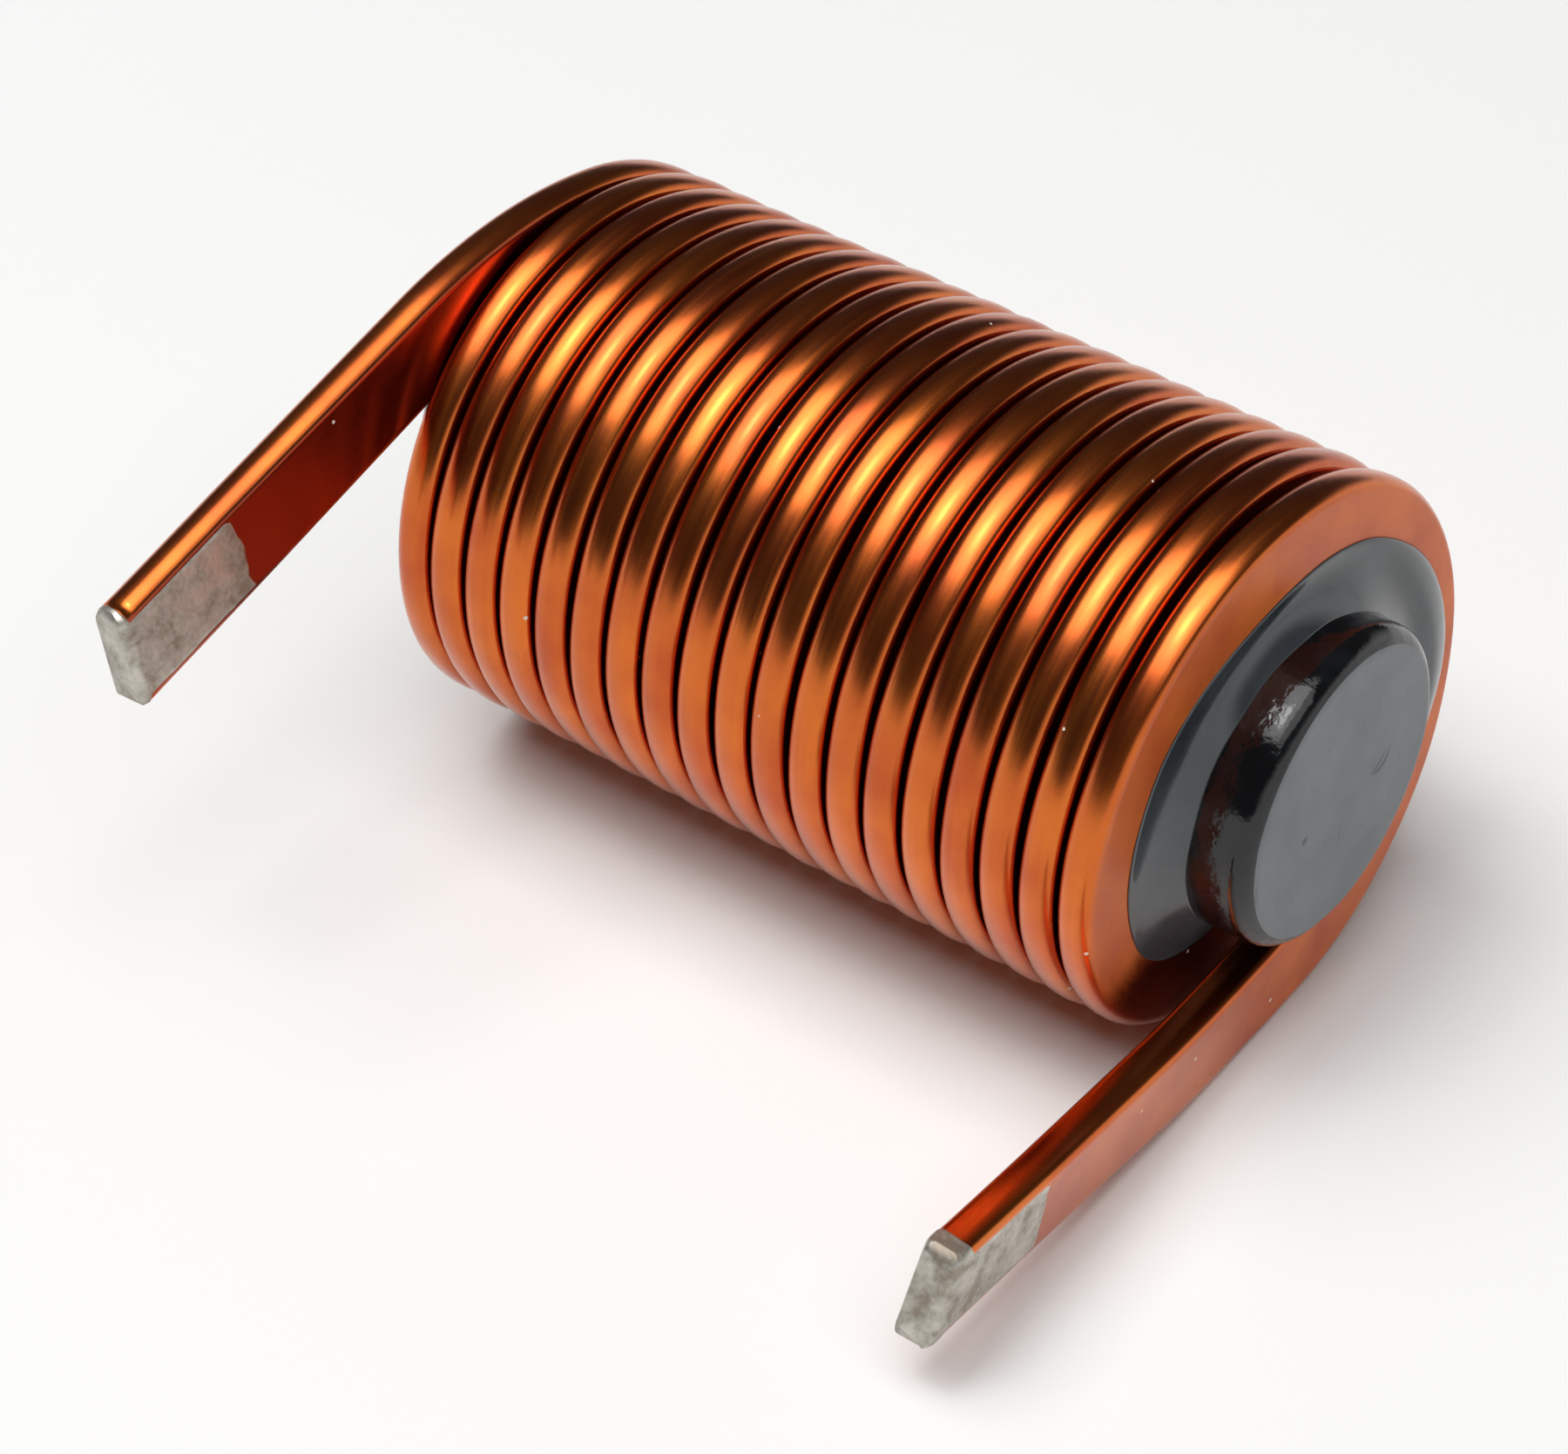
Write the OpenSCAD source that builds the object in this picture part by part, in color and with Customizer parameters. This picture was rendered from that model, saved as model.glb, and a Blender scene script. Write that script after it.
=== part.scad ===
// Rod-core choke: flat enamelled copper wire wound on edge round a ferrite rod.
// The coil axis runs along X. Both leads point to -Y, and the part lies on Z = 0.

/* [Wire] */
// Width of the flat wire, which becomes the wall of the coil
wire_w = 2.5; // [1.6:0.1:3.2]
// Thickness of the flat wire in its straight leads
wire_t = 0.95; // [0.7:0.05:1.2]
// Bevel that rounds the four long edges of the wire
edge_r = 0.2; // [0.1:0.02:0.24]
// Thickening at the bore, and thinning at the rim, of wire bent on edge
keystone = 0.1; // [0:0.01:0.18]

/* [Coil] */
// Whole turns between the two lead exits
whole_turns = 19; // [6:1:24]
// Free space between neighbouring turns at the bore
turn_gap = 0.03; // [0.02:0.01:0.3]
// Extra spread that opens the last part turn towards the front lead
splay = 0.5; // [0:0.05:0.6]

/* [Ferrite rod] */
// Diameter of the rod
rod_d = 8; // [5:0.1:12]
// How far the rod stands out of the coil at each end
rod_proud = 1.3; // [0.8:0.1:3]
// Rounding of the rod's end edges
rod_round = 0.55; // [0.2:0.05:0.8]
// Radial space between the rod and the coil
core_gap = 0.5; // [0.3:0.05:1]

/* [Epoxy] */
// Depth that the epoxy reaches into the coil from each end face
epoxy_depth = 3; // [1:0.5:6]
// Reach of the epoxy over the end face, measured outwards from the bore
epoxy_reach = 0.95; // [0.3:0.05:1.1]
// Extra reach where the epoxy ran out before it cured, on the far side
epoxy_run = 0.8; // [0:0.05:0.9]
// Height of the epoxy where it climbs the rod, above the end face
epoxy_climb = 0.6; // [0.2:0.05:0.75]
// Thickness of the epoxy's feathered rim
epoxy_lip = 0.07; // [0.04:0.01:0.15]
// Thickness of the rounded bead that ends the epoxy where it ran
epoxy_bead = 0.26; // [0.1:0.02:0.4]

/* [Rear lead] */
// Angle round the axis where the lead leaves the coil
rear_exit = 102; // [85:1:110]
// Radius of the relaxed bend behind the exit
rear_bend_r = 12; // [10:1:60]
// Angle of that bend, in degrees
rear_bend = 28; // [6:1:32]
// Straight length after the bend
rear_len = 11.2; // [6:0.1:20]
// Sideways drift of the lead away from the coil, in degrees
rear_drift = 1; // [0.5:0.5:6]
// Twist of the lead about its own length, in degrees
rear_twist = 9; // [0:1:12]

/* [Front lead] */
// Angle round the axis where the lead leaves the coil
front_exit = 265; // [258:1:270]
// Radius of the relaxed bend behind the exit
front_bend_r = 28; // [12:1:60]
// Angle of that bend, in degrees
front_bend = 12; // [6:1:20]
// Straight length after the bend
front_len = 9.5; // [6:0.1:20]
// Sideways drift of the lead away from the coil, in degrees
front_drift = 2; // [0:0.5:6]
// Twist of the lead about its own length, in degrees
front_twist = 6; // [0:1:12]

/* [Tinned ends] */
// Length of wire that is stripped and tinned
tin_len = 4; // [2:0.1:5]
// Thickness of the solder
tin_t = 0.08; // [0.04:0.01:0.12]
// Slant of the cut across both tips, with the lower corner further out, in degrees
tip_slant = 14; // [0:1:20]

/* [Hidden] */
film = 0.02;                                   // hairline between epoxy and what it lies on
pitch = wire_t + keystone + turn_gap;          // advance of the coil in one turn
rod_r = rod_d / 2;
bore_r = rod_r + core_gap;
coil_r = bore_r + wire_w / 2;                  // radius of the wire's centreline
rim_r = bore_r + wire_w;
sweep = 360 * whole_turns + front_exit - rear_exit;
coil_n = round(sweep / 10);
step = sweep / coil_n;
end_angle = rear_exit + sweep;
mid_angle = rear_exit + sweep / 2;
coil_half = pitch * sweep / 720 + (wire_t + keystone) / 2;
rod_len = 2 * (coil_half + rod_proud);
sag = max(0, (front_bend_r - coil_r) * (1 - cos(270 - front_exit)));
axis_z = rim_r + sag;                          // the lowest edge of the wire touches Z = 0
coil_rise = pitch / (2 * PI * coil_r);         // sideways advance per millimetre of wire
bend_n = 5;
rear_rings = lead_rings(rear_exit, rear_bend_r, rear_bend, rear_drift, -rear_twist,
                        rear_len, -1);
front_rings = lead_rings(end_angle, front_bend_r, front_bend, front_drift, -front_twist,
                         front_len, 1);
lead_reach = tin_t - min([for (r = [rear_rings, front_rings], q = r[len(r) - 1]) q[1]]);
axis_y = (lead_reach - rim_r) / 2;             // the origin lies under the middle of the part

// Blend from 0 to 1 with level ends
function smooth(t) = let(c = min(1, max(0, t))) c * c * (3 - 2 * c);

// Axial place of the wire's centre at a running angle
function coil_x(a) = pitch * (a - mid_angle) / 360 + splay * smooth((a - end_angle + 240) / 240);

// Thickness of the bent wire at a distance from its centreline, towards the rim
function coil_t(d) = wire_t - keystone * d / (wire_w / 2);

// Point at an axial place, an angle round the axis and a radius, seen from the coil's middle
function polar(x, a, r) = [x, -r * cos(a), r * sin(a)];

// Direction vectors at an angle: outwards from the axis, and along the wire
function out_dir(a) = [0, -cos(a), sin(a)];
function run_dir(a) = [0, sin(a), cos(a)];

// Section of the wire as [outwards, sideways] pairs: k = 1 in the coil, 0 in a lead,
// and strip is the depth cut off both wide faces for the solder
function wire_section(k, strip = 0) =
    let(w = wire_w / 2, e = edge_r,
        t = [for (d = [w, w - e, e - w, -w]) (wire_t + k * (coil_t(d) - wire_t)) / 2])
    [[w, t[0] - e], [w - e + strip, t[1] - strip], [e - w - strip, t[2] - strip], [-w, t[3] - e],
     [-w, e - t[3]], [e - w - strip, strip - t[2]], [w - e + strip, strip - t[1]], [w, e - t[0]]];

// A ring of points: centre, angle of the outward direction, drift, twist, section, and
// the slant of its plane
function ring(c, a, drift, twist, sec, slant = 0) =
    let(b0 = [cos(drift), 0, 0] - sin(drift) * run_dir(a),
        n = cos(twist) * out_dir(a) + sin(twist) * b0
            + tan(slant) * (cos(drift) * run_dir(a) + [sin(drift), 0, 0]),
        b = cos(twist) * b0 - sin(twist) * out_dir(a))
    [for (q = sec) c + q[0] * n + q[1] * b];

// Centre on a relaxed bend that starts at angle a and has turned by da; s = -1 rear, 1 front
function bend_point(a, r, da, drift, s) =
    let(f = s * coil_rise, g = s * tan(drift), l = r * da * PI / 180)
    polar(0, a, coil_r - r) + [coil_x(a) + l * (f + (g - f) / 2), 0, 0]
    + r * out_dir(a + s * da);

// Centre on the straight lead at a distance past its bend
function lead_point(a, r, da, drift, s, l) =
    bend_point(a, r, da, drift, s) + s * l * (run_dir(a + s * da) + [tan(drift), 0, 0]) * cos(drift);

// Half of the path on a lead, from the coil outwards
function lead_rings(a, r, da, drift, twist, len, s) =
    let(bare = len - tin_len, z = a + s * da)
    concat(
        [for (i = [1 : bend_n]) let(f = i / bend_n)
            ring(bend_point(a, r, da * f, drift * f, s), a + s * da * f, drift * f,
                 twist * f / 2, wire_section(1 - smooth(f)))],
        [for (l = [bare / 2, bare])
            ring(lead_point(a, r, da, drift, s, l), z, drift,
                 twist * (0.5 + l / bare / 2), wire_section(0))],
        [for (l = [bare + tin_t, len - tin_t])
            ring(lead_point(a, r, da, drift, s, l), z, drift, twist, wire_section(0, tin_t),
                 l > bare + tin_t ? tip_slant : 0)]);

function reversed(v) = [for (i = [len(v) - 1 : -1 : 0]) v[i]];

// Skin over a row of rings, either closed by end caps or joined to itself
module skin(rings, loop = false) {
    n = len(rings);
    m = len(rings[0]);
    last = loop ? n - 1 : n - 2;
    sides = [for (i = [0 : last], j = [0 : m - 1])
        let(k = (i + 1) % n, a = i * m + j, b = i * m + (j + 1) % m,
            c = k * m + (j + 1) % m, d = k * m + j)
        each [[d, c, b], [d, b, a]]];
    caps = loop ? [] : [[for (j = [0 : m - 1]) j],
                        [for (j = [m - 1 : -1 : 0]) (n - 1) * m + j]];
    polyhedron([for (r = rings) each r], concat(sides, caps));
}

// Puts a piece that is drawn from the coil's middle in its place above the origin
module placed() translate([0, axis_y, axis_z]) children();

// One continuous wire: rear lead, edge-wound coil, front lead
module flat_wire_winding() {
    coil = [for (i = [0 : coil_n]) let(a = rear_exit + i * step)
        ring(polar(coil_x(a), a, coil_r), a, 0, 0, wire_section(1))];
    color("#c4682c") placed() skin(concat(reversed(rear_rings), coil, front_rings));
}

// Rod with rounded end edges
module ferrite_rod() {
    color("#43474a") placed() rotate([0, 90, 0])
        rotate_extrude($fn = 96) {
            translate([0, -rod_len / 2]) square([rod_r - rod_round, rod_len]);
            translate([0, rod_round - rod_len / 2]) square([rod_r, rod_len - 2 * rod_round]);
            for (s = [-1, 1])
                translate([rod_r - rod_round, s * (rod_len / 2 - rod_round)])
                    circle(rod_round, $fn = 48);
        }
}

// Bump of height 1 round an angle, zero beyond its half width
function bump(a, middle, half) = smooth(1 - abs((a % 360 + 360) % 360 - middle) / half);

// Reach of the epoxy over the end face: less at the top, most on the far side
function reach_at(a) = min(wire_w - edge_r - 0.2,
    epoxy_reach * (1 - 0.5 * bump(a, 75, 50)) + epoxy_run * bump(a, 175, 65));

// Epoxy that fills the space round the rod and feathers out over the end turn.
// Under the lead it stays inside the bore; s = 1 is the front end, -1 the rear.
module epoxy(s) {
    inner = (rod_r + film) / cos(step / 2 + 0.5);
    bore = bore_r - film;
    outer_a = s > 0 ? end_angle : rear_exit;
    deep = s * (coil_half - epoxy_depth);
    rings = [for (i = [0 : 35]) let(
        a = outer_a - s * i * step,
        w = smooth((i * step - 4) / 26) * smooth((300 - i * step) / 26),
        rim = bore + w * (reach_at(a) + film),
        lip = epoxy_lip + w * (epoxy_bead - epoxy_lip) * bump(a, 175, 65),
        foot = bore + w * (edge_r + film),
        face = coil_x(a) + s * coil_t(bore_r - coil_r) / 2,
        rim_x = coil_x(a) + s * coil_t(rim - coil_r) / 2,
        foot_x = coil_x(a) + s * coil_t(foot - coil_r) / 2)
        [for (q = [[inner, deep],
                   [inner, face + s * epoxy_climb],
                   [inner + 0.1, face + s * (0.55 * epoxy_climb)],
                   [inner + 0.26, face + s * (0.28 * epoxy_climb)],
                   [bore, face + s * (lip + film + 0.02)],
                   [max(bore + 0.0005, rim - 0.6 * lip), rim_x + s * (lip + film + 0.005)],
                   [max(bore + 0.001, rim), rim_x + s * (0.6 * lip + film)],
                   [max(bore + 0.001, rim), rim_x + s * 1.5 * film],
                   [max(bore + 0.0005, foot), foot_x + s * (film - 0.08 * pow(1 - w, 3))],
                   [bore, face - s * (edge_r - film)],
                   [bore, deep]])
            polar(q[1], a, q[0])]];
    color("#1d1e21") placed() skin(rings, loop = true);
}
module epoxy_front() epoxy(1);
module epoxy_rear() epoxy(-1);

// Block that starts at the plane of the slanted cut and is long enough to clear the lead
module beyond_cut(depth) translate([tin_len, 0, 0]) rotate(-tip_slant)
    translate([0, -2 * wire_w, -wire_t]) cube([depth, 4 * wire_w, 2 * wire_t]);

// Solder over both wide faces and the cut end of a lead, drawn along +X from its start
module solder() {
    w = wire_w / 2;
    t = wire_t / 2;
    e = edge_r;
    cap = tin_t * cos(tip_slant);
    difference() {
        for (s = [-1, 1])
            translate([tin_t, 0, 0]) rotate([90, 0, 90]) linear_extrude(tin_len + w)
                polygon([[e - w - tin_t, s * (t - tin_t)], [w - e + tin_t, s * (t - tin_t)],
                         [w - e, s * t], [e - w, s * t]]);
        beyond_cut(2 * wire_w);
    }
    intersection() {
        rotate([90, 0, 90]) linear_extrude(tin_len + w)
            polygon([[w, t - e], [w - e, t], [e - w, t], [-w, t - e],
                     [-w, e - t], [e - w, -t], [w - e, -t], [w, e - t]]);
        translate([-tin_t, 0, 0]) beyond_cut(cap);
    }
}

// Moves a piece drawn along +X, with its width along Y, to a lead's tinned end
module at_lead(a, r, da, drift, twist, len, s) {
    o = lead_point(a, r, da, drift, s, len - tin_len);
    z = a + s * da;
    run = cos(drift) * run_dir(z) + [sin(drift), 0, 0];
    side = [cos(drift), 0, 0] - sin(drift) * run_dir(z);
    n = cos(twist) * out_dir(z) + sin(twist) * side;
    b = cos(twist) * side - sin(twist) * out_dir(z);
    multmatrix([for (i = [0 : 2]) [s * run[i], s * n[i], b[i], o[i]]]) children();
}
module solder_front() color("#99978f") placed()
    at_lead(end_angle, front_bend_r, front_bend, front_drift, -front_twist, front_len, 1) solder();
module solder_rear() color("#99978f") placed()
    at_lead(rear_exit, rear_bend_r, rear_bend, rear_drift, -rear_twist, rear_len, -1) solder();

ferrite_rod();
flat_wire_winding();
epoxy_front();
epoxy_rear();
solder_front();
solder_rear();
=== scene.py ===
import math
import bpy
import bmesh
from mathutils import Matrix, Vector, noise


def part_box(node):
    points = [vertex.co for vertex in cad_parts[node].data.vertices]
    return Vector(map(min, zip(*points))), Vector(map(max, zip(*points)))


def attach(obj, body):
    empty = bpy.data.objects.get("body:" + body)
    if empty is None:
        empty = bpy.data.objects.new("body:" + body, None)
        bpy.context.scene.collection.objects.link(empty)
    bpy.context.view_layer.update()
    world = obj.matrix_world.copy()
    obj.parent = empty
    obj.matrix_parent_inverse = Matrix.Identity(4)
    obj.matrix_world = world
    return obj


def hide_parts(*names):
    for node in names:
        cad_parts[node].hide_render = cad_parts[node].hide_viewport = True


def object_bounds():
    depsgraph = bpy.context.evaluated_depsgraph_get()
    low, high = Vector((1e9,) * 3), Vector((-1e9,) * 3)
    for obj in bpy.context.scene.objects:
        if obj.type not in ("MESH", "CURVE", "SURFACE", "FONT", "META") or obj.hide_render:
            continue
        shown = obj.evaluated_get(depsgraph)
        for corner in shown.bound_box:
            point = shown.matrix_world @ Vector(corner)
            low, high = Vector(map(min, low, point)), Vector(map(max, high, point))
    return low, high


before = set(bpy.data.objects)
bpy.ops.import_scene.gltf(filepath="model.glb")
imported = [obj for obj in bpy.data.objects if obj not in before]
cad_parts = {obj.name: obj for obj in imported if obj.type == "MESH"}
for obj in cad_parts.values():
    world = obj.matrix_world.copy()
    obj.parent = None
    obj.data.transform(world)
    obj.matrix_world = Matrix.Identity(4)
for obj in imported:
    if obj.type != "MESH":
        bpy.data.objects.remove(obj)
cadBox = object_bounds()
mm = 0.001

# the rod carries everything, so its box gives the coil's axis and the ends
rodLow, rodHigh = (Vector(corner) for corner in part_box("ferrite_rod"))
axisY = (rodLow.y + rodHigh.y) / 2
axisZ = (rodLow.z + rodHigh.z) / 2
rodEnd = rodHigh.x / mm
print("frame loaded, coil axis at y %.2f mm, z %.2f mm" % (axisY / mm, axisZ / mm))


def linear(code):  # sRGB hex to the linear values a shader wants
    parts = [int(code[i:i + 2], 16) / 255 for i in (1, 3, 5)]
    return [p / 12.92 if p <= 0.04045 else ((p + 0.055) / 1.055) ** 2.4 for p in parts] + [1.0]


def setStops(band, stops):  # stops are (place, hex)
    while len(band.elements) < len(stops):
        band.elements.new(0.5)
    for element, (place, code) in zip(band.elements, stops):
        element.position = place
        element.color = linear(code)


def addNode(tree, kind, settings=None, links=None):  # one node, its values and what feeds it
    node = tree.nodes.new(kind)
    for key, value in (settings or {}).items():
        if key == "stops":
            setStops(node.color_ramp, value)
        elif isinstance(key, int) or key in node.inputs:
            node.inputs[key].default_value = value
        else:
            setattr(node, key, value)
    for key, source in (links or {}).items():
        tree.links.new(source, node.inputs[key])
    return node


def fromTo(span, result):  # settings of a Map Range
    return {"From Min": span[0], "From Max": span[1], "To Min": result[0], "To Max": result[1]}


def newMaterial(name, sockets):  # sockets hold what is the same all over the surface
    made = bpy.data.materials.new(name)
    made.use_nodes = True
    shader = made.node_tree.nodes["Principled BSDF"]
    for socket, value in sockets.items():
        shader.inputs[socket].default_value = value
    return made, made.node_tree, shader


def feedShader(tree, shader, sources):
    for socket, source in sources.items():
        tree.links.new(source, shader.inputs[socket])


def smoothStep(t):
    t = min(1.0, max(0.0, t))
    return t * t * (3 - 2 * t)


def newObject(bm, name, materials):
    mesh = bpy.data.meshes.new(name)
    bm.to_mesh(mesh)
    bm.free()
    for made in materials:
        mesh.materials.append(made)
    thing = bpy.data.objects.new(name, mesh)
    bpy.context.scene.collection.objects.link(thing)
    return thing


def finishPiece(bm, name, materials, nodeName):
    bmesh.ops.recalc_face_normals(bm, faces=bm.faces)
    piece = newObject(bm, name, materials)
    for polygon in piece.data.polygons:
        polygon.use_smooth = True
    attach(piece, "root")
    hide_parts(nodeName)
    print("made %s, %d faces" % (name, len(piece.data.polygons)))


# where the wire runs, in millimetres and degrees from the middle of the coil
winding = {
    "width": 2.5,          # across the flat wire, which is the wall of the coil
    "thickness": 0.95,
    "keystone": 0.03,      # difference in thickness between the bore and the rim
    "coilRadius": 5.75,    # centreline of the wire
    "pitch": 1.08,
    "sweep": 7003.0,       # between the two exits
    "rearExit": 102.0,
    "splay": 0.5,          # the last part of a turn opens towards the front lead
    "splaySweep": 240.0,
    "tilt": 0.055,         # how unevenly the turns' rims lean
    "tiltWaves": ((9, 3.1, 1.0), (2.7, 8.4, 0.5)),    # mm a wave, seed and share of each
    "swell": 0.03,         # how uneven the coil's radius is
    "swellWave": (12, 1.7, 5),                        # mm a wave, and two seeds
    "rimRadius": 0.4,      # rounding of the edges on the outside of the coil
    "rimSegments": 5,
    "crown": 0.7,          # depth of that rounding as a share of its width
    "boreRadius": 0.2,
    "boreSegments": 3,
    "flatMargin": 0.06,    # from a rounding to the edge loop that holds the flat face flat
    "stepLength": 0.34,
    "openFace": 305.0,     # how much of each end turn the lead doesn't shelter
    "openFade": 2.0,
}
rearLead = {
    "side": -1, "exit": winding["rearExit"], "bendRadius": 12.0, "bend": 28.0, "length": 11.2,
    "drift": 1.0, "twist": -9.0,
}
frontLead = {
    "side": 1, "exit": winding["rearExit"] + winding["sweep"], "bendRadius": 28.0, "bend": 12.0,
    "length": 9.5, "drift": 2.0, "twist": -6.0,
}
tinned = {
    "length": 4.0,
    "slant": 14.0,         # degrees that the cut leans
    "inside": 0.3,         # the copper ends this far inside the solder
    "proud": 0.025,        # thickness of the solder
}

endAngle = frontLead["exit"]
midAngle = winding["rearExit"] + winding["sweep"] / 2
coilLength = math.radians(winding["sweep"]) * winding["coilRadius"]
rise = winding["pitch"] / (2 * math.pi * winding["coilRadius"])
halfWidth = winding["width"] / 2


def bendLength(lead):
    return math.radians(lead["bend"]) * lead["bendRadius"]


def leadLength(lead):
    return bendLength(lead) + lead["length"]


coilStart = leadLength(rearLead)        # measured along the wire from its rear tip
coilFinish = coilStart + coilLength
wireLength = coilFinish + leadLength(frontLead)


def outwards(angle):
    return Vector((0, -math.cos(math.radians(angle)), math.sin(math.radians(angle))))


def along(angle):
    return Vector((0, math.sin(math.radians(angle)), math.cos(math.radians(angle))))


def coilX(angle):
    opened = smoothStep(1 + (angle - endAngle) / winding["splaySweep"])
    return winding["pitch"] * (angle - midAngle) / 360 + winding["splay"] * opened


def bendCentre(lead, turned, drift):
    side, radius, leaves = lead["side"], lead["bendRadius"], lead["exit"]
    path = radius * math.radians(turned)
    start, finish = side * rise, side * math.tan(math.radians(drift))
    centre = Vector((coilX(leaves), 0, 0)) + (winding["coilRadius"] - radius) * outwards(leaves)
    centre.x += path * (start + (finish - start) / 2)
    return centre + radius * outwards(leaves + side * turned)


def leadFrame(lead, path):  # centre, outward and sideways directions, and how coiled it still is
    side, arc, drift = lead["side"], bendLength(lead), lead["drift"]
    part = min(1.0, path / arc)
    angle = lead["exit"] + side * lead["bend"] * part
    centre = bendCentre(lead, lead["bend"] * part, drift * part)
    if path > arc:
        slope = Vector((math.tan(math.radians(drift)), 0, 0))
        centre += side * (path - arc) * (along(angle) + slope) * math.cos(math.radians(drift))
    bare = lead["length"] - tinned["length"]
    straight = min(1.0, max(0.0, path - arc) / bare)
    twist = math.radians(lead["twist"] * (part / 2 + straight / 2))
    lean = math.radians(drift * part)
    sideways = Vector((math.cos(lean), 0, 0)) - math.sin(lean) * along(angle)
    out = math.cos(twist) * outwards(angle) + math.sin(twist) * sideways
    across = math.cos(twist) * sideways - math.sin(twist) * outwards(angle)
    return centre, out, across, 1 - smoothStep(part)


def wireFrame(path):  # the same anywhere along the wire
    if path < coilStart:
        return leadFrame(rearLead, coilStart - path)
    if path > coilFinish:
        return leadFrame(frontLead, path - coilFinish)
    angle = winding["rearExit"] + math.degrees((path - coilStart) / winding["coilRadius"])
    centre = Vector((coilX(angle), 0, 0)) + winding["coilRadius"] * outwards(angle)
    return centre, outwards(angle), Vector((1, 0, 0)), 1.0


def cutShift(fromTip, out):  # the cut is slanted, with the lower corner further out
    slope = math.tan(math.radians(tinned["slant"]))
    return out * slope * max(0.0, 1 - fromTip / tinned["length"])


def inPlace(point):  # from the middle of the coil to the part's frame, in metres
    return Vector((point.x * mm, point.y * mm + axisY, point.z * mm + axisZ))


# patterns on the wire are given in repeats per mm, along, out from and across it
copperFinish = {
    "clear": "#D46A1A",          # copper seen through a thin coat
    "deep": "#BC4E10",           # the same where the enamel pooled
    "tint": (0.45, 0.8),         # levels of the pattern where those two end
    "rearPaintedShade": "#98381E",       # painted shade: the rear lead's wide faces are darkened to maroon, standing in for the coil's shaded side that they mirror
    "rearShadeFade": (-3, 9),         # where that ends, in mm from the start of the coil
    "drawnLines": (0.12, 5, 5),  # left by the die, drawn coarser than real so that they show
    "linesTint": 0.3,
    "pools": 0.5,
    "waves": 1.2,
    "linesHeight": 0.05,         # against the waves, which are 1
    "bump": {"Strength": 0.15, "Distance": 0.03 * mm},
    "dust": "#E6DACB",           # specks of dust and resin, one in a few square mm
    "specks": {"cells": 0.9, "size": 0.05, "clusters": 0.52, "rarity": 0.58},
    "wideFrom": (0.42, 0.47),    # mm from the middle of the wire to its wide faces
    "roughness": (0.21, 0.29),
    "roughSpan": (0.3, 0.7),     # levels of the pattern that give those two
    "wideFaces": -0.06,          # how the wide faces' roughness differs from the rims'
    "rubbed": 0.4,               # more of it on the two faces that end the coil
    "matt": 0.4,                 # and how much of those faces' metal look is gone
    "coat": {"Coat Weight": 0.4, "Coat Roughness": 0.25, "Coat IOR": 1.6},
}


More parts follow.
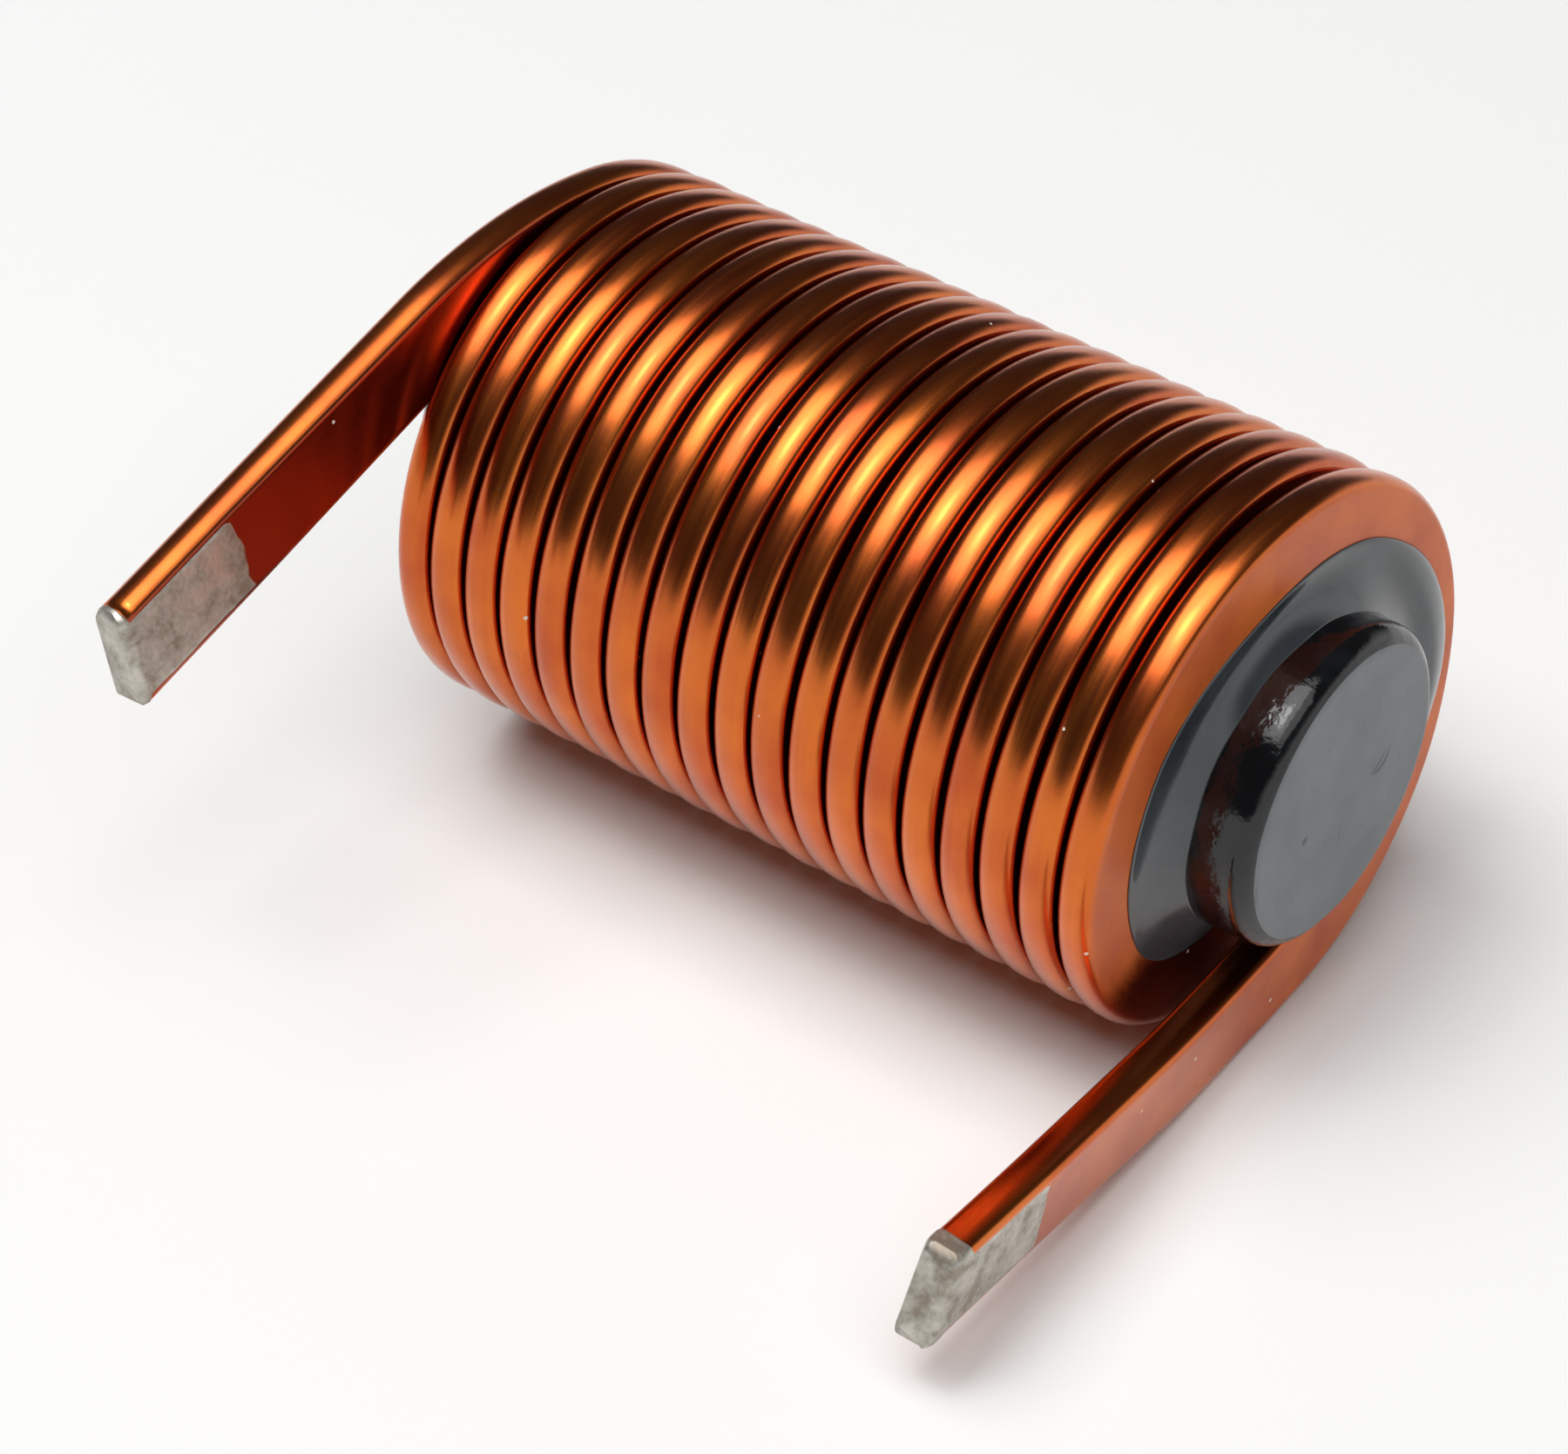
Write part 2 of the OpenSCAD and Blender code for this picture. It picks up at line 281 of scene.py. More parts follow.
def enamelledCopper():
    # drawn flat copper under polyester-imide enamel: a metal that glows amber where it
    # mirrors the light and goes maroon where it mirrors itself
    finish, specks = copperFinish, copperFinish["specks"]
    made, tree, shader = newMaterial("enamelledCopper", finish["coat"])
    place = addNode(tree, "ShaderNodeAttribute", {"attribute_name": "wirePlace"}).outputs["Vector"]
    ends = addNode(tree, "ShaderNodeAttribute", {"attribute_name": "endFace"}).outputs["Fac"]
    solid = addNode(tree, "ShaderNodeTexCoord").outputs["Object"]
    parts = addNode(tree, "ShaderNodeSeparateXYZ", links={"Vector": place})
    drawn = addNode(tree, "ShaderNodeMapping", {"Scale": finish["drawnLines"]}, {"Vector": place})
    lines = addNode(tree, "ShaderNodeTexNoise", {"Scale": 1.0, "Detail": 3.0, "Roughness": 0.6},
                    {"Vector": drawn.outputs["Vector"]}).outputs["Fac"]
    pools = addNode(tree, "ShaderNodeTexNoise",
                    {"Scale": finish["pools"], "Detail": 3.0, "Roughness": 0.5},
                    {"Vector": place}).outputs["Fac"]
    blend = addNode(tree, "ShaderNodeMath", {"operation": "MULTIPLY_ADD", 1: finish["linesTint"]},
                    {0: lines, 2: pools})
    stops = list(zip(finish["tint"], (finish["deep"], finish["clear"])))
    colour = addNode(tree, "ShaderNodeValToRGB", {"stops": stops}, {"Fac": blend.outputs["Value"]})

    side = addNode(tree, "ShaderNodeMath", {"operation": "ABSOLUTE"}, {0: parts.outputs["Z"]})
    wide = addNode(tree, "ShaderNodeMapRange", fromTo(finish["wideFrom"], (0, 1)),
                   {"Value": side.outputs["Value"]}).outputs["Result"]
    # painted shade: the wide faces of the rear lead take the darker maroon, which fades out near the
    # start of the coil
    fade = [coilStart + shift for shift in finish["rearShadeFade"]]
    rear = addNode(tree, "ShaderNodeMapRange", fromTo(fade, (1, 0)),
                   {"Value": parts.outputs["X"]}).outputs["Result"]
    rearWideShade = addNode(tree, "ShaderNodeMath", {"operation": "MULTIPLY"}, {0: rear, 1: wide})
    paintedShadeColour = addNode(tree, "ShaderNodeMix", {"data_type": "RGBA", 7: linear(finish["rearPaintedShade"])},
                    {0: rearWideShade.outputs["Value"], 6: colour.outputs["Color"]})

    cells = addNode(tree, "ShaderNodeTexVoronoi", {"Scale": specks["cells"] / mm, "Randomness": 1.0},
                    {"Vector": solid})
    clusters = addNode(tree, "ShaderNodeTexNoise", {"Scale": specks["clusters"] / mm, "Detail": 1.0},
                       {"Vector": solid})
    near = addNode(tree, "ShaderNodeMath", {"operation": "LESS_THAN", 1: specks["size"]},
                   {0: cells.outputs["Distance"]})
    chosen = addNode(tree, "ShaderNodeMath", {"operation": "GREATER_THAN", 1: specks["rarity"]},
                     {0: clusters.outputs["Fac"]})
    speck = addNode(tree, "ShaderNodeMath", {"operation": "MULTIPLY"},
                    {0: near.outputs["Value"], 1: chosen.outputs["Value"]}).outputs["Value"]
    dusted = addNode(tree, "ShaderNodeMix", {"data_type": "RGBA", 7: linear(finish["dust"])},
                     {0: speck, 6: paintedShadeColour.outputs[2]})

    endWide = addNode(tree, "ShaderNodeMath", {"operation": "MULTIPLY"},
                      {0: wide, 1: ends}).outputs["Value"]
    matt = addNode(tree, "ShaderNodeMath", {"operation": "MULTIPLY_ADD", 1: finish["matt"]},
                   {0: endWide, 2: speck})
    metal = addNode(tree, "ShaderNodeMath", {"operation": "SUBTRACT", 0: 1.0, "use_clamp": True},
                    {1: matt.outputs["Value"]})
    rough = addNode(tree, "ShaderNodeMapRange", fromTo(finish["roughSpan"], finish["roughness"]),
                    {"Value": lines})
    wiped = addNode(tree, "ShaderNodeMath", {"operation": "MULTIPLY_ADD", 1: finish["wideFaces"]},
                    {0: wide, 2: rough.outputs["Result"]})
    rubbed = addNode(tree, "ShaderNodeMath", {"operation": "MULTIPLY_ADD", 1: finish["rubbed"]},
                     {0: endWide, 2: wiped.outputs["Value"]})
    waves = addNode(tree, "ShaderNodeTexNoise", {"Scale": finish["waves"], "Detail": 2.0},
                    {"Vector": place})
    height = addNode(tree, "ShaderNodeMath", {"operation": "MULTIPLY_ADD", 1: finish["linesHeight"]},
                     {0: lines, 2: waves.outputs["Fac"]})
    bump = addNode(tree, "ShaderNodeBump", finish["bump"], {"Height": height.outputs["Value"]})
    feedShader(tree, shader, {
        "Base Color": dusted.outputs[2], "Metallic": metal.outputs["Value"],
        "Roughness": rubbed.outputs["Value"], "Normal": bump.outputs["Normal"]})
    return made


# from here on a pattern is given by its size in mm
epoxyFinish = {
    "body": "#2E3236", "skin": "#3E4348", "tint": (0.35, 0.7),
    "patch": 2.2,
    "roughness": (0.14, 0.26), "roughSpan": (0.35, 0.65),
    "waves": 1.6,
    "bump": {"Strength": 0.2, "Distance": 0.08 * mm},
    "coat": {"IOR": 1.56, "Coat Weight": 0.3, "Coat Roughness": 0.08},
}


def curedEpoxy():
    # poured epoxy with a dark pigment, cured in air: glossy, a little wavy, dulled in patches
    finish = epoxyFinish
    made, tree, shader = newMaterial("curedEpoxy", finish["coat"])
    solid = addNode(tree, "ShaderNodeTexCoord").outputs["Object"]
    patches = addNode(tree, "ShaderNodeTexNoise",
                      {"Scale": 1 / (finish["patch"] * mm), "Detail": 3.0},
                      {"Vector": solid}).outputs["Fac"]
    stops = list(zip(finish["tint"], (finish["body"], finish["skin"])))
    colour = addNode(tree, "ShaderNodeValToRGB", {"stops": stops}, {"Fac": patches})
    rough = addNode(tree, "ShaderNodeMapRange", fromTo(finish["roughSpan"], finish["roughness"]),
                    {"Value": patches})
    waves = addNode(tree, "ShaderNodeTexNoise", {"Scale": 1 / (finish["waves"] * mm), "Detail": 2.0},
                    {"Vector": solid})
    bump = addNode(tree, "ShaderNodeBump", finish["bump"], {"Height": waves.outputs["Fac"]})
    feedShader(tree, shader, {
        "Base Color": colour.outputs["Color"], "Roughness": rough.outputs["Result"],
        "Normal": bump.outputs["Normal"]})
    return made


ferriteFinish = {
    "ground": "#5A5F63", "worn": "#6A6F73", "tint": (0.45, 0.85),
    "grain": 0.12, "grainTint": 0.3,
    "cloud": 1.8,
    "scratch": "#2C2F32",
    # faint strokes of the grinding wheel, turned in degrees
    "strokes": {"turned": 24, "size": (4, 0.22, 3), "span": (0.68, 0.78), "strength": 0.4},
    # two curved scratches and a chipped spot on each end, in mm from the axis
    "curls": ({"middle": (1.45, 0.1), "radius": 0.42, "from": (1.65, -0.3), "length": 0.55,
               "width": 0.07},
              {"middle": (1.2, 0.35), "radius": 0.55, "from": (1.45, -0.1), "length": 0.42,
               "width": 0.05}),
    "chip": {"middle": (-1.62, -0.3), "radius": 0.14},
    "crisp": 0.4,          # share of a mark's width before it fades
    "bump": {"Strength": 0.3, "Distance": 0.03 * mm},
    "polish": {"Roughness": 0.5, "IOR": 1.7},
}


def groundFerrite():
    # sintered manganese-zinc ferrite, ground flat: a matt slate grey with a fine grain,
    # a few scratches and a chipped spot
    finish, strokes = ferriteFinish, ferriteFinish["strokes"]
    made, tree, shader = newMaterial("groundFerrite", finish["polish"])
    solid = addNode(tree, "ShaderNodeTexCoord").outputs["Object"]
    grain = addNode(tree, "ShaderNodeTexNoise", {"Scale": 1 / (finish["grain"] * mm), "Detail": 4.0},
                    {"Vector": solid}).outputs["Fac"]
    cloud = addNode(tree, "ShaderNodeTexNoise", {"Scale": 1 / (finish["cloud"] * mm), "Detail": 3.0},
                    {"Vector": solid}).outputs["Fac"]
    blend = addNode(tree, "ShaderNodeMath", {"operation": "MULTIPLY_ADD", 1: finish["grainTint"]},
                    {0: grain, 2: cloud})
    stops = list(zip(finish["tint"], (finish["ground"], finish["worn"])))
    colour = addNode(tree, "ShaderNodeValToRGB", {"stops": stops}, {"Fac": blend.outputs["Value"]})

    turned = addNode(tree, "ShaderNodeMapping",
                     {"Rotation": (math.radians(strokes["turned"]), 0, 0),
                      "Scale": [1 / (size * mm) for size in strokes["size"]]}, {"Vector": solid})
    streaks = addNode(tree, "ShaderNodeTexNoise", {"Scale": 1.0, "Detail": 1.0, "Distortion": 0.6},
                      {"Vector": turned.outputs["Vector"]})
    faint = addNode(tree, "ShaderNodeMapRange", fromTo(strokes["span"], (0, strokes["strength"])),
                    {"Value": streaks.outputs["Fac"]})
    # the same marks serve both ends, so they are measured in the plane of the face only
    flat = addNode(tree, "ShaderNodeVectorMath", {"operation": "MULTIPLY", 1: (0, 1, 1)}, {0: solid})

    def ringMark(middle, radius, width):
        centre = (0, middle[0] * mm + axisY, middle[1] * mm + axisZ)
        far = addNode(tree, "ShaderNodeVectorMath", {"operation": "DISTANCE", 1: centre},
                      {0: flat.outputs["Vector"]})
        off = addNode(tree, "ShaderNodeMath", {"operation": "SUBTRACT", 1: radius * mm},
                      {0: far.outputs["Value"]})
        off = addNode(tree, "ShaderNodeMath", {"operation": "ABSOLUTE"}, {0: off.outputs["Value"]})
        fade = (width * finish["crisp"] * mm, width * mm)
        return addNode(tree, "ShaderNodeMapRange", fromTo(fade, (1, 0)),
                       {"Value": off.outputs["Value"]}).outputs["Result"]

    marks = []
    for curl in finish["curls"]:
        arc = ringMark(curl["middle"], curl["radius"], curl["width"])
        part = ringMark(curl["from"], 0, curl["length"])
        marks.append(addNode(tree, "ShaderNodeMath", {"operation": "MULTIPLY"},
                             {0: arc, 1: part}).outputs["Value"])
    marks.append(ringMark(finish["chip"]["middle"], 0, finish["chip"]["radius"]))
    scratch = faint.outputs["Result"]
    for mark in marks:
        scratch = addNode(tree, "ShaderNodeMath", {"operation": "MAXIMUM"},
                          {0: scratch, 1: mark}).outputs["Value"]
    marked = addNode(tree, "ShaderNodeMix", {"data_type": "RGBA", 7: linear(finish["scratch"])},
                     {0: scratch, 6: colour.outputs["Color"]})
    height = addNode(tree, "ShaderNodeMath", {"operation": "SUBTRACT"}, {0: grain, 1: scratch})
    bump = addNode(tree, "ShaderNodeBump", finish["bump"], {"Height": height.outputs["Value"]})
    feedShader(tree, shader, {"Base Color": marked.outputs[2], "Normal": bump.outputs["Normal"]})
    return made


smearFinish = {
    "smear": "#0B0C0E", "film": "#17191C", "tint": (0.4, 0.75),
    "patch": 0.9,
    "roughness": (0.06, 0.2), "roughSpan": (0.35, 0.7),
    "bump": {"Strength": 0.7, "Distance": 0.06 * mm},
    "polish": {"IOR": 1.5},
}


def smearedFerrite():
    # the rod's side and shoulder, wet out by the epoxy: black and glossy
    finish = smearFinish
    made, tree, shader = newMaterial("smearedFerrite", finish["polish"])
    solid = addNode(tree, "ShaderNodeTexCoord").outputs["Object"]
    film = addNode(tree, "ShaderNodeTexNoise", {"Scale": 1 / (finish["patch"] * mm), "Detail": 4.0},
                   {"Vector": solid}).outputs["Fac"]
    stops = list(zip(finish["tint"], (finish["smear"], finish["film"])))
    colour = addNode(tree, "ShaderNodeValToRGB", {"stops": stops}, {"Fac": film})
    rough = addNode(tree, "ShaderNodeMapRange", fromTo(finish["roughSpan"], finish["roughness"]),
                    {"Value": film})
    bump = addNode(tree, "ShaderNodeBump", finish["bump"], {"Height": film})
    feedShader(tree, shader, {
        "Base Color": colour.outputs["Color"], "Roughness": rough.outputs["Result"],
        "Normal": bump.outputs["Normal"]})
    return made


solderFinish = {
    "stain": "#9C9183", "dull": "#B4B0A6", "bright": "#C8C4BA", "tint": (0.55, 0.7, 0.86),
    "grain": 0.14, "grainTint": 0.45,
    "patch": 0.8,
    "roughness": (0.55, 0.36), "roughSpan": (0.35, 0.65),    # the stained patches are duller
    "bump": {"Strength": 0.4, "Distance": 0.04 * mm},
    "metal": {"Metallic": 0.85},
}


def dippedSolder():
    # tin dipped and drained: a dull grey metal, faintly grained, stained in patches
    finish = solderFinish
    made, tree, shader = newMaterial("dippedSolder", finish["metal"])
    solid = addNode(tree, "ShaderNodeTexCoord").outputs["Object"]
    grain = addNode(tree, "ShaderNodeTexNoise",
                    {"Scale": 1 / (finish["grain"] * mm), "Detail": 4.0, "Roughness": 0.55},
                    {"Vector": solid})
    patch = addNode(tree, "ShaderNodeTexNoise",
                    {"Scale": 1 / (finish["patch"] * mm), "Detail": 3.0, "Distortion": 0.4},
                    {"Vector": solid})
    blend = addNode(tree, "ShaderNodeMath", {"operation": "MULTIPLY_ADD", 1: finish["grainTint"]},
                    {0: grain.outputs["Fac"], 2: patch.outputs["Fac"]}).outputs["Value"]
    stops = list(zip(finish["tint"], (finish["stain"], finish["dull"], finish["bright"])))
    colour = addNode(tree, "ShaderNodeValToRGB", {"stops": stops}, {"Fac": blend})
    rough = addNode(tree, "ShaderNodeMapRange", fromTo(finish["roughSpan"], finish["roughness"]),
                    {"Value": patch.outputs["Fac"]})
    bump = addNode(tree, "ShaderNodeBump", finish["bump"], {"Height": blend})
    feedShader(tree, shader, {
        "Base Color": colour.outputs["Color"], "Roughness": rough.outputs["Result"],
        "Normal": bump.outputs["Normal"]})
    return made


copper, epoxy, ferrite, smear, solder = (
    enamelledCopper(), curedEpoxy(), groundFerrite(), smearedFerrite(), dippedSolder())
print("finishes made")


def cutAt(bm, normal, places):  # edge loops across the mesh
    for place in places:
        bmesh.ops.bisect_plane(bm, geom=bm.verts[:] + bm.edges[:] + bm.faces[:],
                               plane_co=place * Vector(normal), plane_no=normal)


def lengthwiseEdges(bm, length):
    return [e for e in bm.edges if abs(e.verts[0].co.x - e.verts[1].co.x) > length / 2]


def straightBar(start, length, thickness, cuts):  # along X, with the rim towards +Y
    rim, bore, crown = winding["rimRadius"], winding["boreRadius"], winding["crown"]
    hair = 0.001
    bm = bmesh.new()
    bmesh.ops.create_cube(bm, size=1)
    bmesh.ops.scale(bm, vec=(length, winding["width"], thickness), verts=bm.verts)
    bmesh.ops.translate(bm, vec=(start + length / 2, 0, 0), verts=bm.verts)
    roundings = ((rim, 1, winding["rimSegments"]), (bore, -1, winding["boreSegments"]))
    for radius, sign, segments in roundings:
        edges = [e for e in lengthwiseEdges(bm, length)
                 if all(sign * v.co.y > halfWidth - hair for v in e.verts)]
        bmesh.ops.bevel(bm, geom=edges, offset=radius, segments=segments, profile=0.5,
                        affect="EDGES", material=-1)
    for vert in bm.verts:  # rolled wire is crowned, so the rounding is wider than it is deep
        depth = halfWidth - vert.co.y
        beyondRim = smoothStep((depth - rim) / (10 * hair))
        vert.co.y = halfWidth - min(1.0, crown + (1 - crown) * beyondRim) * depth
    margin = winding["flatMargin"]
    cutAt(bm, (0, 1, 0), (halfWidth - rim * crown - margin, bore + margin - halfWidth))
    bmesh.ops.subdivide_edges(bm, edges=lengthwiseEdges(bm, length), cuts=cuts, use_grid_fill=True)
    return bm


def endFace(path, across):  # 1 on the faces that end the coil, up to where the lead shelters them
    turn = math.radians(winding["openFace"]) * winding["coilRadius"]
    past = path - coilFinish + turn if across > 0 else coilStart + turn - path
    return smoothStep(past / winding["openFade"])


def windWire():
    inside, thickness = tinned["inside"], winding["thickness"]
    steps = int(wireLength / winding["stepLength"])
    bm = straightBar(inside, wireLength - 2 * inside, thickness, steps)
    place = bm.verts.layers.float_vector.new("wirePlace")
    ends = bm.verts.layers.float.new("endFace")
    swellLength, *swellSeed = winding["swellWave"]
    frames = {}
    for vert in bm.verts:
        path, out, across = vert.co
        vert[place] = (path, out, across)
        path += cutShift(min(path, wireLength - path), out)
        step = round(path, 4)
        if step not in frames:
            frames[step] = wireFrame(path)
        centre, outDir, acrossDir, coiled = frames[step]
        vert[ends] = coiled * endFace(path, across)
        across *= 1 - coiled * winding["keystone"] / thickness * out / halfWidth
        lean = winding["tilt"] * coiled * (out / halfWidth + 1) / 2
        across += sum(share * lean * noise.noise(Vector((path / length, seed, 0)))
                      for length, seed, share in winding["tiltWaves"])
        out += winding["swell"] * coiled * noise.noise(Vector((path / swellLength, *swellSeed)))
        vert.co = inPlace(centre + out * outDir + across * acrossDir)
    finishPiece(bm, "woundWire", [copper], "flat_wire_winding")


windWire()


# solder covers the wide faces and the cut end of each lead
coats = {
    "rear": {"lead": rearLead, "wrap": 0.12, "slant": 0.2, "node": "solder_rear", "seed": 2.0},
    "front": {"lead": frontLead, "wrap": 0.6, "slant": 0.12, "node": "solder_front", "seed": 7.0},
}
# how it lies, in millimetres, with lumps as (height, repeats)
solderLay = {
    "cuts": 90,
    "loops": (-0.75, -0.5, -0.25, 0, 0.25, 0.5, 0.75),
    "stretch": (1.1, 1.3), "otherFace": 4,   # how the unevenness is laid out
    "ragged": ((0.22, 1.7), (0.1, 5)),       # the edge where the dip ended
    "raggedZone": 0.9,
    "wrapFade": 0.2,                         # where it stops going round the rims
    "rimShare": 0.3,                         # its thickness there, as a share
    "faceInset": 0.12,                       # and how far it stays off them after that
    "corner": 0.32, "cornerZone": 0.5,       # the cut end's corners are rounded
    "lowerCorner": 0.9, "upperCorner": 0.4,
    "blunt": 0.22, "bluntZone": 0.3,         # it thins towards the cut
    "feather": 0.1, "featherFrom": 0.3, "featherZone": 0.5,    # and towards the ragged edge
    "lumps": (0.02, 2.3),
}


def solderCoat(coat):
    lead, lay, total = coat["lead"], solderLay, tinned["length"]
    proud, corner = tinned["proud"], solderLay["corner"]
    bm = straightBar(0, total, winding["thickness"] + 2 * proud, lay["cuts"])
    cutAt(bm, (0, 1, 0), lay["loops"])
    for vert in bm.verts:
        fromTip, out, across = vert.co
        seed = Vector((fromTip * lay["stretch"][0], out * lay["stretch"][1],
                       coat["seed"] + (lay["otherFace"] if across > 0 else 0)))
        ragged = sum(height * noise.noise(seed * repeats) for height, repeats in lay["ragged"])
        zone = lay["raggedZone"]
        fromTip += smoothStep((fromTip - total + zone) / zone) * (coat["slant"] * out + ragged)
        fade = lay["wrapFade"]
        narrow = smoothStep((fromTip - coat["wrap"] - fade * noise.noise(seed)) / fade)
        wrapped, inset = halfWidth + lay["rimShare"] * proud, halfWidth - lay["faceInset"]
        out *= (wrapped * (1 - narrow) + inset * narrow) / halfWidth
        near = max(0.0, 1 - fromTip / lay["cornerZone"])
        rounded = 1 - lay["blunt"] * max(0.0, 1 - fromTip / lay["bluntZone"]) ** 2
        feather = smoothStep((fromTip - total + lay["featherFrom"]) / lay["featherZone"])
        height, repeats = lay["lumps"]
        across *= (rounded - lay["feather"] * feather) * (1 + height * noise.noise(seed * repeats))
        past = max(0.0, abs(out) - (halfWidth - corner)) / corner
        drop = 1 - math.sqrt(max(0.0, 1 - min(1.0, past) ** 2))
        share = lay["lowerCorner"] if out * lead["side"] > 0 else lay["upperCorner"]
        fromTip += near * corner * drop * share
        path = leadLength(lead) - fromTip + lead["side"] * cutShift(fromTip, out)
        centre, outDir, acrossDir = leadFrame(lead, path)[:3]
        vert.co = inPlace(centre + out * outDir + across * acrossDir)
    name = coat["node"].replace("solder", "tin") + "_coat"
    finishPiece(bm, name, [solder], coat["node"])


for coat in coats.values():
    solderCoat(coat)


rod = {
    "radius": 4.0,
    "shoulder": 0.55,
    "shoulderSegments": 9,
    "shoulderMargin": 0.15,            # from the rounding to the loop that holds the side straight
    "insets": (0.06, 0.5, 0.8, 0.8),   # rings on the end faces
    "around": 160,
    "unevenness": 0.02,                # of the side, on the last stretch before each end
    "unevenFrom": 1.2, "unevenFade": 0.6, "unevenRepeats": 0.8,
    "groundSlope": 0.93,               # a face turned further from the axis than this is side
}


def ferriteRod():
    bm = bmesh.new()
    bmesh.ops.create_cone(bm, cap_ends=True, segments=rod["around"], radius1=rod["radius"],
                          radius2=rod["radius"], depth=2 * rodEnd)
    rims = [e for e in bm.edges if abs(e.verts[0].co.z) > rodEnd - 0.01
            and abs(e.verts[1].co.z - e.verts[0].co.z) < 0.01]
    bmesh.ops.bevel(bm, geom=rims, offset=rod["shoulder"], segments=rod["shoulderSegments"],
                    profile=0.5, affect="EDGES", material=-1)
    margin = rod["shoulder"] + rod["shoulderMargin"]
    uneven = rod["unevenFrom"]
    cutAt(bm, (0, 0, 1), (rodEnd - margin, rodEnd - uneven, uneven - rodEnd, margin - rodEnd))
    for inset in rod["insets"]:
        ends = [f for f in bm.faces if len(f.verts) > 8]
        bmesh.ops.inset_region(bm, faces=ends, thickness=inset, depth=0)
    lying = Matrix.Rotation(math.radians(90), 3, "Y")
    bmesh.ops.rotate(bm, cent=(0, 0, 0), matrix=lying, verts=bm.verts)
    for face in bm.faces:
        face.material_index = 0 if abs(face.normal.x) > rod["groundSlope"] else 1
    for vert in bm.verts:
        if abs(vert.co.x) < rodEnd - 0.001:  # the end faces stay flat
            share = smoothStep((abs(vert.co.x) - rodEnd + uneven) / rod["unevenFade"])
            wobble = rod["unevenness"] * noise.noise(vert.co * rod["unevenRepeats"]) * share
            vert.co += vert.co.normalized() * wobble
        vert.co = inPlace(vert.co)
    finishPiece(bm, "rodCore", [ferrite, smear], "ferrite_rod")


ferriteRod()


potting = {
    "depth": 3.0,
    "boreRadius": 4.5,
    "bite": 0.02,          # its inner edge lies inside the rod
    "reach": 0.95,         # over the end face, measured from the bore
    "waviness": 0.1, "waves": 1.6,
    "bareWall": 0.4,       # it never comes closer than this to the rim
    "scant": {"at": 75, "half": 50, "share": 0.5},    # it reached less here
    "far": {"at": 175, "half": 65},    # and ran further on this side before it cured
    "run": 0.8,
    "lip": 0.04,
    "bead": 0.42,          # height of the rounded bead that ends it where it ran
    "beadWidth": 1.0, "lipWidth": 0.05, "beadSlope": 0.2,
    "saddle": 0.35,        # height between the bead and the rod, as a share
    "climb": 0.6,          # up the rod, above the end face
    "climbCurve": 2.3, "climbWaves": (0.14, 2.1),
    "leadStart": (4, 26), "leadEnd": (352, 60),    # degrees behind the exit where it thins out
    "underReach": 0.25, "under": -0.03, "wallTop": -0.2,    # how its underside meets the bore
    "around": 180,
}


def bulge(angle, middle, half):  # 1 at the middle angle, 0 beyond its half width
    return smoothStep(1 - abs(angle % 360 - middle) / half)


